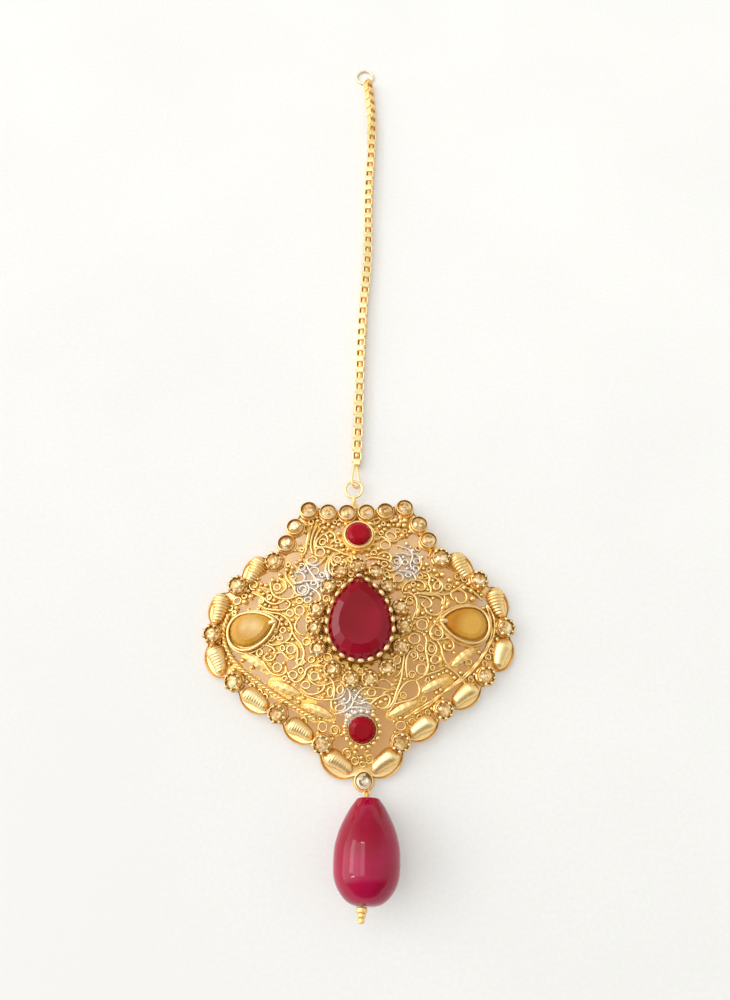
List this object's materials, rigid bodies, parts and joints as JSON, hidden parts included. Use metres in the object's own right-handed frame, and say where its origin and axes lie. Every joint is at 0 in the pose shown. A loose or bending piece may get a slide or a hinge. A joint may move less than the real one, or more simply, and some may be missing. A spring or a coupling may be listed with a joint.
{
  "type": "maang tikka",
  "caption": "Forehead pendant: a domed gold filigree plate set with red, amber and champagne stones, on a fine chain that ends in a ring, with a red teardrop bead hanging below.",
  "frame": {"origin": "on the surface that it lies on, under the middle of its box", "axes": "+Y from the drop towards the ring at the chain's end, +Z out of the plate's face, up"},
  "size_m": [0.049, 0.1566, 0.0099],
  "materials": {
    "gold_metal": "bright gold plating, worn and silvery in patches",
    "red_glass": "polished, cut, foil backed",
    "amber_glass": "polished, cut, foil backed",
    "champagne_glass": "polished, cut, foil backed",
    "red_bead": "glossy, smooth"
  },
  "bodies": {
    "root": {"plate": "gold_metal", "connector_link": "gold_metal", "chain": "gold_metal", "end_ring": "gold_metal", "head_pin": "gold_metal", "centre_stone": "red_glass", "top_stone": "red_glass", "bottom_stone": "red_glass", "left_amber_stone": "amber_glass", "right_amber_stone": "amber_glass", "border_stone_01": "champagne_glass", "border_stone_02": "champagne_glass", "border_stone_03": "champagne_glass", "border_stone_04": "champagne_glass", "border_stone_05": "champagne_glass", "border_stone_06": "champagne_glass", "border_stone_07": "champagne_glass", "border_stone_08": "champagne_glass", "border_stone_09": "champagne_glass", "border_stone_10": "champagne_glass", "border_stone_11": "champagne_glass", "border_stone_12": "champagne_glass", "border_stone_13": "champagne_glass", "border_stone_14": "champagne_glass", "border_stone_15": "champagne_glass", "border_stone_16": "champagne_glass", "border_stone_17": "champagne_glass", "border_stone_18": "champagne_glass", "border_stone_19": "champagne_glass", "border_stone_20": "champagne_glass", "border_stone_21": "champagne_glass", "border_stone_22": "champagne_glass", "halo_stone_01": "champagne_glass", "halo_stone_02": "champagne_glass", "halo_stone_03": "champagne_glass", "halo_stone_04": "champagne_glass", "halo_stone_05": "champagne_glass", "halo_stone_06": "champagne_glass", "halo_stone_07": "champagne_glass", "halo_stone_08": "champagne_glass", "halo_stone_09": "champagne_glass", "halo_stone_10": "champagne_glass", "halo_stone_11": "champagne_glass", "halo_stone_12": "champagne_glass", "halo_stone_13": "champagne_glass", "halo_stone_14": "champagne_glass", "halo_stone_15": "champagne_glass", "drop_stone": "champagne_glass", "drop_bead": "red_bead"}
  },
  "joints": []
}
